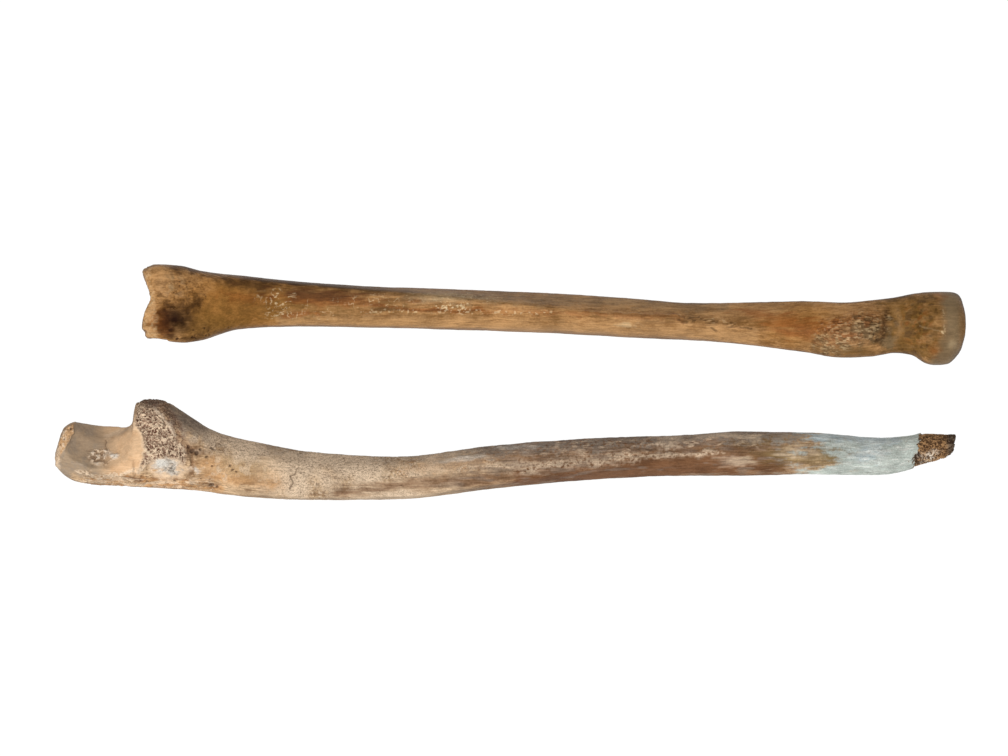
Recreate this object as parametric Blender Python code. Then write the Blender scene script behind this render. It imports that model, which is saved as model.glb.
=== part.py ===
"""A human radius and ulna from one forearm, life size, lying side by side on a level floor.

Both are right bones and lie along X. The radius is the bone at +Y, with its wrist end at -X and
its head at +X. It lies on its lateral side, so its medial side faces up and its front faces +Y.
The ulna is the bone at -Y, with its elbow end at -X and its broken-off wrist end at +X. It lies
on the back of its medial side, rolled so that its elbow notch opens up and towards +Y.

Each bone is lofted along X. A few named cross-sections give its form, each with five corners
that run on as the bone's borders, and an outline gives its edges as seen from above and from the
side. The joint surfaces are then pressed in with the form of the bone that turned in them, and
swellings, hollows and ridges are raised where muscles and ligaments were fixed.

Sizes are in millimetres here and are scaled to metres when the meshes are made.
"""

import math

import bpy
import numpy as np

MM = 0.001

STEPS = 6  # mesh steps from one corner of a cross-section to the next
CAP_RINGS = (0.86, 0.7, 0.52, 0.33, 0.15)  # sizes of the rings that close an end

ULNA_ROLL = math.radians(50)  # from its front facing +Y to where it rests
FRONT = np.array((0.0, math.cos(ULNA_ROLL), math.sin(ULNA_ROLL)))
LATERAL = np.array((0.0, -math.sin(ULNA_ROLL), math.cos(ULNA_ROLL)))
UP = np.array((0.0, 0.0, 1.0))
ALONG = np.array((1.0, 0.0, 0.0))

TROCHLEA_RADIUS = 9.3  # the pulley of the upper arm bone, which turned in the ulna's notch
TROCHLEA_GROOVE = 1.3
TROCHLEA_GROOVE_WIDTH = 2.6
TROCHLEA_FLARE = 0.002
RADIAL_HEAD_RADIUS = 11.0
RADIAL_HEAD_HALF_HEIGHT = 5.4
HEAD_DISH_RADIUS = 15.0  # of the small ball of the upper arm bone
ULNAR_HEAD_RADIUS = 8.5
ULNAR_HEAD_HALF_HEIGHT = 5.0
DISC_CROWN = 0.015  # how fast a disc's rim falls away across it


# %% Cross-sections of the radius

# Corners are (front, medial, sharpness), in the order medial border, front border, lateral side,
# back border, back of the medial side. Only their pattern counts: the outline sets the size.
WRIST_END = ((11, 13, 0.2), (11.5, -6, 0), (1, -15.5, 0), (-8, -9, 0), (-9.5, 12, 0.1))
WRIST_FLARE = ((7.5, 8.5, 0.3), (8, -5, 0), (1, -11, 0), (-7, -6.5, 0), (-7.5, 7.5, 0))
LOWER_SHAFT = ((4.6, 6.4, 0.5), (5.4, -3.4, 0), (0, -8, 0), (-6, -4, 0), (-5.4, 4.6, 0))
MIDDLE_SHAFT = ((0.6, 8.2, 0.6), (5.5, -2, 0), (0.4, -7.6, 0), (-5.4, -3, 0), (-4.2, 3.4, 0))
UPPER_SHAFT = ((-0.8, 7.4, 0.4), (5.6, 0.4, 0), (1.6, -7, 0), (-4.8, -4.2, 0), (-4.8, 3, 0))
ROUND = tuple((math.sin(i * math.tau / 5), math.cos(i * math.tau / 5), 0) for i in range(5))

RADIUS_FORMS = (  # place along X, corners, passes of rounding
    (-106, WRIST_END, 2),
    (-97, WRIST_END, 2),
    (-80, WRIST_FLARE, 3),
    (-50, LOWER_SHAFT, 3),
    (18, MIDDLE_SHAFT, 3),
    (68, UPPER_SHAFT, 4),
    (92, ROUND, 6),
    (114, ROUND, 9),
    (133, ROUND, 9),
)

RADIUS_OUTLINE = (  # place along X, then the edges: front, back, floor side, top side
    (-105.1, 33.0, 11.9, 0.8, 29.8),
    (-102.2, 34.2, 12.0, -0.4, 31.0),
    (-99.4, 34.1, 11.0, -0.6, 31.0),
    (-95.5, 33.7, 10.7, -0.6, 30.4),
    (-89.7, 32.0, 11.5, -0.4, 28.2),
    (-83.8, 31.2, 13.7, 0.1, 25.4),
    (-78.0, 30.6, 15.3, 0.6, 22.6),
    (-60.5, 28.8, 15.8, 0.9, 18.4),
    (-37.2, 27.4, 15.4, 0.6, 16.4),
    (-13.9, 26.7, 14.8, 0.1, 15.5),
    (9.5, 25.8, 13.9, -0.4, 15.2),
    (32.8, 24.3, 12.7, -0.3, 15.2),
    (56.1, 22.7, 11.6, 0.8, 15.4),
    (72.0, 23.0, 10.1, 2.4, 16.6),
    (85.3, 23.3, 8.3, 4.0, 18.6),
    (97.0, 22.9, 6.6, 4.9, 20.2),
    (105.5, 23.6, 7.0, 4.9, 19.6),
    (112.0, 24.4, 8.1, 4.6, 18.6),
    (117.4, 25.5, 7.2, 3.0, 19.6),
    (120.3, 25.9, 5.2, 1.0, 21.4),
    (123.2, 26.0, 4.5, 0.0, 22.3),
    (127.4, 26.0, 4.8, -0.1, 22.2),
    (130.2, 25.5, 7.4, 0.8, 21.6),
    (131.6, 23.8, 9.4, 2.0, 20.5),
    (132.6, 21.2, 11.2, 3.4, 19.0),
)

RADIUS_RINGS = ((-105.1, -80, 1.7), (-80, 84, 5.2), (84, 116, 2.0), (116, 132.6, 1.2))


# %% Cross-sections of the ulna

# Corners are (front, lateral, sharpness), in the order lateral border, front, medial side of the
# front, back of the medial side, back of the lateral side.
OLECRANON_TIP = ((7, 7, 0), (11.5, 0, 0), (5, -8, 0), (-7, -6, 0), (-6.5, 6, 0))
OLECRANON = ((8, 7.5, 0.1), (14, 0, 0.2), (6.5, -8, 0.1), (-7.5, -5.5, 0), (-6.5, 6, 0))
NOTCH = ((4.4, 8.1, 0.3), (5.6, 0, 0), (5, -8.5, 0.3), (-7.3, -4.4, 0), (-6.5, 5, 0))
CORONOID = ((9.5, 8.5, 0.3), (16.4, -2, 0.2), (15.2, -9, 0.3), (-7.5, -5, 0), (-4, 9.2, 0.2))
UNDER_CORONOID = ((5, 8.5, 0.2), (9.5, 1, 0), (9, -8, 0), (-8.5, -3.5, 0.1), (-5, 7, 0.2))
ULNA_UPPER_SHAFT = ((2, 8.4, 0.5), (6.2, 1, 0), (4.6, -6.4, 0), (-8, -1.5, 0.3), (-4, 4.2, 0))
ULNA_MIDDLE_SHAFT = ((3, 7.6, 0.6), (6, 0, 0), (3.4, -6.2, 0), (-6.8, -2, 0.2), (-3.6, 4, 0))
ULNA_LOWER_SHAFT = ((4.6, 4.6, 0.3), (5.6, -1, 0), (1, -6, 0), (-5.6, -2, 0), (-3.4, 4.4, 0))

ULNA_FORMS = (
    (-133, OLECRANON_TIP, 6),
    (-129, OLECRANON, 3),
    (-125.5, OLECRANON, 2),
    (-121.5, NOTCH, 2),
    (-117, NOTCH, 2),
    (-111.5, CORONOID, 2),
    (-99, CORONOID, 2),
    (-88, UNDER_CORONOID, 3),
    (-66, ULNA_UPPER_SHAFT, 3),
    (-10, ULNA_MIDDLE_SHAFT, 3),
    (70, ULNA_LOWER_SHAFT, 4),
    (131, ULNA_LOWER_SHAFT, 6),
)

ULNA_OUTLINE = (
    (-132.4, -20.0, -25.3, 5.0, 14.6),
    (-131.4, -15.8, -26.7, 3.0, 16.6),
    (-130.3, -13.6, -27.6, 2.0, 17.8),
    (-129.0, -12.5, -28.6, 1.2, 18.6),
    (-126.7, -12.0, -29.6, 0.2, 18.9),
    (-122.0, -12.7, -30.4, -0.5, 18.0),
    (-116.0, -13.1, -30.6, -0.6, 17.8),
    (-110.3, -12.7, -31.0, -0.6, 19.4),
    (-109.7, -7.2, -31.1, -0.6, 19.5),
    (-108.4, -5.8, -31.2, -0.6, 19.8),
    (-106.0, -5.0, -31.4, -0.6, 20.3),
    (-102.4, -4.9, -31.6, -0.5, 20.6),
    (-100.5, -5.7, -31.8, -0.4, 20.4),
    (-96.0, -8.6, -31.9, -0.3, 19.4),
    (-91.7, -11.5, -32.2, 0.0, 18.4),
    (-85.9, -15.0, -32.9, 0.3, 17.2),
    (-74.2, -17.7, -34.2, 0.4, 15.8),
    (-56.0, -20.9, -34.8, -0.2, 14.6),
    (-33.0, -22.0, -34.6, -0.4, 13.8),
    (-4.2, -18.7, -31.4, 0.5, 13.6),
    (30.8, -16.4, -28.5, 0.8, 13.2),
    (50.0, -15.9, -27.8, 0.6, 12.8),
    (65.8, -14.7, -27.8, 0.3, 12.4),
    (88.0, -15.1, -27.3, -0.4, 11.6),
    (109.0, -16.7, -27.6, -0.4, 10.8),
    (115.3, -16.0, -26.3, -0.1, 10.2),
    (119.8, -15.0, -24.8, 0.3, 9.8),
    (125.2, -15.2, -23.4, 0.9, 9.2),
    (127.8, -15.3, -21.8, 1.8, 8.6),
    (129.2, -16.0, -20.4, 2.8, 7.8),
)

ULNA_RINGS = ((-132.4, -110.6, 1.45), (-110.6, -108.6, 0.4), (-108.6, -88, 1.7), (-88, 112, 5.0))
ULNA_RINGS += ((112, 129.2, 1.7),)


# %% Lofting


def smooth_between(places, values, wanted):
    """Values read at the wanted places from a curve through the given ones that never overshoots."""
    places = np.asarray(places, float)
    values = np.asarray(values, float)
    wanted = np.asarray(wanted, float)
    gaps = np.diff(places).reshape(-1, *[1] * (values.ndim - 1))
    slopes = np.diff(values, axis=0) / gaps
    before, after = slopes[:-1], slopes[1:]
    total = np.where(np.abs(before + after) < 1e-9, 1.0, before + after)
    tangents = np.zeros_like(values)
    tangents[1:-1] = np.where(before * after > 0, 2 * before * after / total, 0.0)
    tangents[0], tangents[-1] = slopes[0], slopes[-1]
    left = np.clip(np.searchsorted(places, wanted) - 1, 0, len(places) - 2)
    gap = gaps[left]
    share = (wanted - places[left]).reshape(gap.shape) / gap
    ease_in = share**3 - 2 * share**2 + share
    ease_out = share**3 - share**2
    blend = 3 * share**2 - 2 * share**3
    start = (1 - blend) * values[left] + ease_in * gap * tangents[left]
    return start + blend * values[left + 1] + ease_out * gap * tangents[left + 1]


def rounded_section(corners, passes):
    """A closed outline round the corners, which averaging rounds off unless they are sharp."""
    points = np.array([corner[:2] for corner in corners], float)
    points /= np.abs(points).max()
    shares = np.arange(STEPS).reshape(1, -1, 1) / STEPS
    sides = points[:, None] * (1 - shares) + np.roll(points, -1, axis=0)[:, None] * shares
    outline = sides.reshape(-1, 2)
    give = np.full((len(outline), 1), 0.5)
    give[::STEPS, 0] = [0.5 * (1 - corner[2]) for corner in corners]
    for _ in range(passes):
        neighbours = (np.roll(outline, 1, axis=0) + np.roll(outline, -1, axis=0)) / 2
        outline = outline * (1 - give) + neighbours * give
    return outline


def ring_places(spans):
    """Places along X, at about the given step within each span."""
    places = [spans[0][0]]
    for start, end, step in spans:
        count = max(1, round((end - start) / step))
        places += [start + (end - start) * i / count for i in range(1, count + 1)]
    return np.array(places)


def loft(forms, outline, spans, roll):
    """Rings of points, one at each place: the local form, turned by roll, fitted in the outline."""
    places = ring_places(spans)
    keys = np.array([rounded_section(corners, passes) for _, corners, passes in forms])
    sections = smooth_between([form[0] for form in forms], keys, places)
    turn = np.array(((math.cos(roll), math.sin(roll)), (-math.sin(roll), math.cos(roll))))
    sections = sections @ turn
    edges = smooth_between([row[0] for row in outline], [row[1:] for row in outline], places)
    highest, lowest = sections.max(axis=1), sections.min(axis=1)
    wanted_high, wanted_low = edges[:, (0, 3)], edges[:, (1, 2)]
    scale = (wanted_high - wanted_low) / (highest - lowest)
    fitted = (sections - lowest[:, None]) * scale[:, None] + wanted_low[:, None]
    along = np.repeat(places[:, None], fitted.shape[1], axis=1)
    return np.concatenate((along[..., None], fitted), axis=2)


def closed_ends(rings, start_dome, end_dome):
    """The rings with smaller ones added inside both ends, bulging out by the given domes."""
    first, last = rings[0], rings[-1]
    start, end = [], []
    for size in CAP_RINGS:
        bulge = ALONG * (1 - size**2)
        start.insert(0, first.mean(axis=0) + (first - first.mean(axis=0)) * size - bulge * start_dome)
        end.append(last.mean(axis=0) + (last - last.mean(axis=0)) * size + bulge * end_dome)
    return np.concatenate((start, rings, end))


# %% Shaping by press, swelling and ridge


def press(points, centre, axis, push, radius_at):
    """Moves what lies inside a turned body along push, square to its axis, out to its surface."""
    offset = points - centre
    along_axis = offset @ axis
    along_push = offset @ push
    aside = offset - along_axis[..., None] * axis - along_push[..., None] * push
    reach = np.clip(radius_at(along_axis), 0, None) ** 2 - (aside**2).sum(axis=-1)
    surface = np.sqrt(np.clip(reach, 0, None))
    inside = (reach > 0) & (along_push < surface)
    moved = points + (surface - along_push)[..., None] * push
    return np.where(inside[..., None], moved, points)


def disc_edge(radius, half_height):
    """The profile of a disc's rim: round across, and running out past its half height."""

    def radius_at(along):
        past_rim = np.clip(np.abs(along) - half_height, 0, None)
        return radius - DISC_CROWN * along**2 - past_rim**1.5

    return radius_at


def falloff(distance):
    """One at the middle, easing to nothing at a distance of one."""
    return np.clip(1 - distance**2, 0, None) ** 2


def swell(points, centre, reach, push):
    """Moves the surface around a place by push, negative for a hollow."""
    distance = np.linalg.norm((points - np.array(centre)) / np.array(reach), axis=-1)
    return points + falloff(distance)[..., None] * np.array(push)


def ridge(points, start, end, width, push):
    """Raises a ridge along a straight line from start to end."""
    start, end = np.array(start, float), np.array(end, float)
    line = end - start
    share = np.clip((points - start) @ line / (line @ line), 0, 1)
    nearest = start + share[..., None] * line
    distance = np.linalg.norm(points - nearest, axis=-1) / width
    return points + falloff(distance)[..., None] * np.array(push)


# %% The radius

CARPAL_MIDDLE = (-105.1, 22.5, 15.0)
CARPAL_DISH_DEPTH = 2.8
CARPAL_ROUND = 36.0  # of the wrist bones, across the end
CARPAL_BARREL = 0.035  # how fast they narrow from palm to back
RADIUS_HEAD_MIDDLE = (132.6, 15.9, 11.2)
HEAD_DISH_DEPTH = 1.5
ULNAR_HEAD_MIDDLE = (-100.5, 18.5, 37.2)
RADIUS_DOMES = (0.0, 0.2)  # how far the two ends bulge

WRIST_LIPS = (  # middle, reach and push of each swelling
    ((-105.1, 32.6, 19), (9, 9, 26), (-2.3, 0, 0)),  # on the palm side
    ((-105.1, 17.0, 25), (9, 7, 18), (-2.6, 0, 0)),  # on the back
    ((-105.1, 18, 3), (9, 9, 9), (-2.0, 0, 0)),  # the worn styloid process
)
TENDON_GROOVES = (  # start, end, width and push
    ((-104, 10.6, 9.5), (-88, 12.5, 8.5), 4.2, (0, 1.3, 0.3)),
    ((-104, 10.8, 22.5), (-88, 12.5, 19.5), 3.8, (0, 1.2, 0)),
)
PALM_HOLLOW = ((-97, 34.5, 15), (11, 4, 9), (0, -1.0, 0))
BICEPS_TUBEROSITY = (
    ((100, 13.6, 21), (14, 8.5, 9), (0, -0.2, 2.3)),
    ((100.5, 15.5, 22.6), (9, 4, 4), (0, 0, -0.7)),
)


def shape_radius():
    points = closed_ends(loft(RADIUS_FORMS, RADIUS_OUTLINE, RADIUS_RINGS, 0), *RADIUS_DOMES)

    wrist = np.array(CARPAL_MIDDLE) - ALONG * (CARPAL_ROUND - CARPAL_DISH_DEPTH)
    points = press(
        points,
        wrist,
        np.array((0.0, 1.0, 0.0)),
        ALONG,
        lambda across: CARPAL_ROUND - CARPAL_BARREL * across**2,
    )

    # The lips and the styloid process reach past the rest of the wrist end.
    for middle, reach, push in WRIST_LIPS:
        points = swell(points, middle, reach, push)

    # The notch for the ulna's head, on the medial side, and the grooves for tendons on the back.
    points = press(
        points,
        np.array(ULNAR_HEAD_MIDDLE),
        ALONG,
        -UP,
        disc_edge(ULNAR_HEAD_RADIUS, ULNAR_HEAD_HALF_HEIGHT),
    )
    for start, end, width, push in TENDON_GROOVES:
        points = ridge(points, start, end, width, push)
    points = swell(points, *PALM_HOLLOW)

    # The tuberosity for the biceps, a long oval on the medial side below the neck, with a dip.
    for middle, reach, push in BICEPS_TUBEROSITY:
        points = swell(points, middle, reach, push)

    small_ball = np.array(RADIUS_HEAD_MIDDLE) + ALONG * (HEAD_DISH_RADIUS - HEAD_DISH_DEPTH)
    return press(
        points,
        small_ball,
        np.array((0.0, 1.0, 0.0)),
        -ALONG,
        lambda across: np.sqrt(np.clip(HEAD_DISH_RADIUS**2 - across**2, 0, None)),
    )


# %% The ulna

ELBOW_MIDDLE = np.array((-118.9, -21.5, 8.2))  # middle of the bone under the notch
NOTCH_FLOOR = 4.6  # from there to the bottom of the notch, towards the front
BEAK_SLANT = math.radians(20)  # the beak's edge lies nearer the elbow's end on the lateral side
BEAK_DRIFT = -1.2  # along X, from the pulley's middle
RADIAL_NOTCH = (-100.8, 7.7, 2.6)  # place along X, then lateral and front from the bone's middle
ULNA_DOMES = (0.4, 0.2)

SUPINATOR_HOLLOW = ((-85, -27.5, 15), (11, 6, 7), -LATERAL * 1.4)  # middle, reach and push
BRACHIALIS_ROUGHNESS = ((-90, -14, 16), (10, 6, 7), FRONT * 0.9)
BROKEN_END = (
    ((117.5, -15.2, 6), (3.2, 3, 5), (0, -0.7, 0)),
    ((121, -22.6, 9), (5, 3, 3), (0, 0.4, -0.6)),
    ((126.5, -17.5, 9), (3.2, 3.4, 3), (0, 0, 0.7)),
    ((129.4, -18.9, 5.0), (3, 1.9, 2.4), (-0.9, 0, 0)),
)


def pulley_profile(across):
    """The elbow pulley's radius, with its middle groove, which fits the ridge of the notch."""
    groove = TROCHLEA_GROOVE * np.exp(-((across / TROCHLEA_GROOVE_WIDTH) ** 2))
    return TROCHLEA_RADIUS - groove + TROCHLEA_FLARE * across**2


def shape_ulna():
    points = closed_ends(loft(ULNA_FORMS, ULNA_OUTLINE, ULNA_RINGS, ULNA_ROLL), *ULNA_DOMES)

    # The pulley is pressed in square on the coronoid's side, and slanting on the beak's.
    pulley = ELBOW_MIDDLE + FRONT * (NOTCH_FLOOR + TROCHLEA_RADIUS)
    slanting = LATERAL * math.cos(BEAK_SLANT) - ALONG * math.sin(BEAK_SLANT)
    coronoid_side = press(points, pulley, LATERAL, -FRONT, pulley_profile)
    beak_side = press(points, pulley + ALONG * BEAK_DRIFT, slanting, -FRONT, pulley_profile)
    points = np.where(points[..., :1] > pulley[0], coronoid_side, beak_side)

    place, lateral, front = RADIAL_NOTCH
    notch_middle = ELBOW_MIDDLE * (0, 1, 1) + ALONG * place + LATERAL * lateral + FRONT * front
    points = press(
        points,
        notch_middle + LATERAL * RADIAL_HEAD_RADIUS,
        ALONG,
        -LATERAL,
        disc_edge(RADIAL_HEAD_RADIUS, RADIAL_HEAD_HALF_HEIGHT),
    )

    # The hollow for the supinator muscle behind the notch, and the rough place for the brachialis.
    points = swell(points, *SUPINATOR_HOLLOW)
    points = swell(points, *BRACHIALIS_ROUGHNESS)

    # The wrist end is broken off, lumpy and slanting.
    for middle, reach, push in BROKEN_END:
        points = swell(points, middle, reach, push)
    return points


# %% Objects


def bone_material(name, colour, roughness):
    material = bpy.data.materials.new(name)
    material.use_nodes = True
    shader = material.node_tree.nodes["Principled BSDF"]
    shader.inputs["Base Color"].default_value = (*colour, 1.0)
    shader.inputs["Roughness"].default_value = roughness
    shader.inputs["Metallic"].default_value = 0.0
    return material


def add_bone(name, rings, material, middle):
    """One closed mesh from rings of points, resting on the floor at Z 0."""
    count, around = rings.shape[:2]
    rings = rings - middle
    rings[..., 2] = np.clip(rings[..., 2], 0, None)
    corners = rings.reshape(-1, 3)
    tips = np.array((rings[0].mean(axis=0), rings[-1].mean(axis=0)))
    faces = []
    for row in range(count - 1):
        for i in range(around):
            following = (i + 1) % around
            near, far = row * around, (row + 1) * around
            faces.append((near + i, far + i, far + following, near + following))
    start_tip, end_tip, last = len(corners), len(corners) + 1, (count - 1) * around
    for i in range(around):
        following = (i + 1) % around
        faces.append((start_tip, i, following))
        faces.append((end_tip, last + following, last + i))
    mesh = bpy.data.meshes.new(name)
    mesh.from_pydata((np.concatenate((corners, tips)) * MM).tolist(), [], faces)
    mesh.materials.append(material)
    mesh.shade_smooth()
    bone = bpy.data.objects.new(name, mesh)
    bpy.context.scene.collection.objects.link(bone)
    return bone


def main():
    for old in list(bpy.data.objects):
        bpy.data.objects.remove(old)
    radius, ulna = shape_radius(), shape_ulna()
    everything = np.concatenate((radius.reshape(-1, 3), ulna.reshape(-1, 3)))
    middle = (everything.max(axis=0) + everything.min(axis=0)) / 2 * (1, 1, 0)
    stained = bone_material("radius_bone", (0.42, 0.24, 0.11), 0.42)
    weathered = bone_material("ulna_bone", (0.46, 0.35, 0.22), 0.6)
    add_bone("radius", radius, stained, middle)
    add_bone("ulna", ulna, weathered, middle)


main()
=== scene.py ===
# %% [markdown]
# # A dry radius and ulna on a light table
#
# The two bones of a human forearm, life size, lie side by side as in a museum drawer. The
# radius, the upper one in the picture, is stained honey brown. The ulna below it is weathered:
# its elbow end is worn down to the spongy inside, its wrist end is broken off and bleached.
#
# The solids from the frame give each bone's true form. This script makes the surface that an
# eye sees: it remeshes a copy of each bone to small even faces, carves pores, cracks, flakes
# and spongy bone into it as real geometry, and paints the stains that years have left, along
# with some painted light and shade.

# %% Load the frame and measure it
import itertools
import math

import bmesh
import bpy
import numpy as np
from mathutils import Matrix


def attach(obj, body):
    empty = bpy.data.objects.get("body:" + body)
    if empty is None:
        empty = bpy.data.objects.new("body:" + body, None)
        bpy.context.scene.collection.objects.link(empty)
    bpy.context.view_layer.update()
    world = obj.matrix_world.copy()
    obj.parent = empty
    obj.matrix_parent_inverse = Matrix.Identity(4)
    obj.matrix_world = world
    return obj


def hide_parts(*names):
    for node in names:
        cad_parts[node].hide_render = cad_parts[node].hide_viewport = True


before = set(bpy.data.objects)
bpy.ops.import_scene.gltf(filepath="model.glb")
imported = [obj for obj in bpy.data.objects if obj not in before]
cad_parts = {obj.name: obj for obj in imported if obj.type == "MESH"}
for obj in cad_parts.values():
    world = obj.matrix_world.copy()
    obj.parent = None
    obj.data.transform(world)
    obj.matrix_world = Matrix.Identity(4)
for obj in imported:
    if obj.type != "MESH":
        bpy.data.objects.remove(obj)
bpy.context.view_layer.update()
MM = 0.001

# %% [markdown]
# ## A fine, even mesh for each bone
#
# The CAD bone is a cage of long faces. Pores and cracks need faces smaller than themselves, and
# of one size all over. Subdivision alone would keep the cage's uneven faces, so the copy is
# first smoothed by subdivision and then remeshed in voxels, whose even grid of quads can hold
# the same fine detail on the shaft as at the ends.

# %% Remesh a copy of each CAD bone
FACE_SIZE = 0.2  # millimetres
WELD = 1e-6  # metres, far less than any edge
FLAT_PAIR = 1.2  # radians: two triangles that bend less than this are one quad of the cage


def fine_copy(node, name):
    """A new object: a smooth copy of the CAD node in small even quads."""
    cage = bmesh.new()
    cage.from_mesh(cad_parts[node].data)
    bmesh.ops.remove_doubles(cage, verts=cage.verts, dist=WELD)
    bmesh.ops.join_triangles(
        cage, faces=cage.faces, angle_face_threshold=FLAT_PAIR, angle_shape_threshold=FLAT_PAIR
    )
    mesh = bpy.data.meshes.new(name)
    cage.to_mesh(mesh)
    cage.free()
    bone = bpy.data.objects.new(name, mesh)
    bpy.context.scene.collection.objects.link(bone)
    rounding = bone.modifiers.new("rounding", "SUBSURF")
    rounding.levels = rounding.render_levels = 2
    grid = bone.modifiers.new("grid", "REMESH")
    grid.mode = "VOXEL"
    grid.voxel_size = FACE_SIZE * MM
    relax = bone.modifiers.new("relax", "SMOOTH")
    relax.factor = 0.5
    relax.iterations = 6
    evaluated = bone.evaluated_get(bpy.context.evaluated_depsgraph_get())
    bone.data = bpy.data.meshes.new_from_object(evaluated)
    bone.modifiers.clear()
    bpy.data.meshes.remove(mesh)
    bone.data.name = name
    print(name, "has", len(bone.data.polygons), "faces")
    return bone


radius_bone = fine_copy("radius", "radius_bone")
ulna_bone = fine_copy("ulna", "ulna_bone")

# %% [markdown]
# ## Noise for grain, and cells for spongy bone
#
# Bone wears in patterns of two kinds. Stains, flakes and grain wander like noise, which is a
# random value at each point of a lattice, blended between them. Spongy bone is a foam: each
# point belongs to the nearest of many scattered seeds, and thin walls stand where two seeds are
# equally near. Both are worked out here with numpy, because they move vertices as well as
# colour them. Every random value comes from the lattice point itself, so each run is the same.

# %% Lattice noise and cells
HASH_STEPS = (np.uint32(2246822519), np.uint32(3266489917))
HASH_AXES = (np.uint32(374761393), np.uint32(668265263), np.uint32(2147483629))
OCTAVE_SHIFT = 17.3  # moves each finer lattice aside, so that no two of them line up
NOISE_GAIN = 1.6  # blending pulls the values together, and this spreads them again
FAR = 9.0  # cell widths, further than any seed can be
FAINT = 0.02  # a mask weaker than this gets no cells


def lattice(places, seed):
    """A fixed value from 0 to 1 for each whole-numbered place."""
    mixed = np.full(places.shape[:-1], (seed * 1013904223) % 2**32, np.uint32)
    for axis, factor in enumerate(HASH_AXES):
        mixed += (places[..., axis].astype(np.int64) % 2**32).astype(np.uint32) * factor
    for factor in HASH_STEPS:
        mixed ^= mixed >> np.uint32(15)
        mixed *= factor
    mixed ^= mixed >> np.uint32(16)
    return mixed / 2.0**32


def noise(points, size, seed=0, octaves=3, stretch=1.0):
    """Smooth noise from about -1 to 1, in blotches of a size in millimetres, longer along X."""
    total, reach = np.zeros(len(points)), 0.0
    for octave in range(octaves):
        weight = 0.5**octave
        spread = points / (size * np.array((stretch, 1.0, 1.0))) * 2**octave + octave * OCTAVE_SHIFT
        base = np.floor(spread)
        share = spread - base
        share = share**3 * (share * (share * 6 - 15) + 10)
        for corner in itertools.product((0, 1), repeat=3):
            near = np.prod(np.where(corner, share, 1 - share), axis=1)
            total += weight * near * (lattice(base + corner, seed + octave) * 2 - 1)
        reach += weight
    return total / reach * NOISE_GAIN


def cells(points, size, seed):
    """How far each point is inside its cell, from 0 on a wall to about 0.6, and the cell's value."""
    spread = points / size
    base = np.floor(spread)
    first = np.full(len(points), FAR)
    second = np.full(len(points), FAR)
    value = np.zeros(len(points))
    for offset in itertools.product((-1, 0, 1), repeat=3):
        home = base + offset
        seeds = home + np.stack([lattice(home, seed + k) for k in range(3)], axis=1)
        distance = np.linalg.norm(seeds - spread, axis=1)
        nearer = distance < first
        second = np.where(nearer, first, np.minimum(second, distance))
        value = np.where(nearer, lattice(home, seed + 3), value)
        first = np.where(nearer, distance, first)
    return second - first, value


def ease(low, high, value):
    """From 0 at low to 1 at high, with soft ends."""
    share = np.clip((value - low) / (high - low), 0, 1)
    return share * share * (3 - 2 * share)


# %% [markdown]
# ## A surface that can be carved and painted
#
# Each mark on a bone has a place, a size and a lean, read here in millimetres in the frame: X
# along the bone, Y across it, as seen from above. The helper below keeps a bone's points and
# turns such a place into a mask from 0 to 1. No stain or worn edge is a clean line, so places
# are first bent a little by noise, and a mask's edge is made ragged by more of it: rough noise
# as a rule, or streaks and flakes that run along the grain. A mask can press the surface in, or
# it can be kept under a pigment's name for the material to read. Two more names aren't pigments:
# "calm" evens out the material's own mottle, and "speckled" scatters dark dots.

# %% The carving and painting helper


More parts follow.
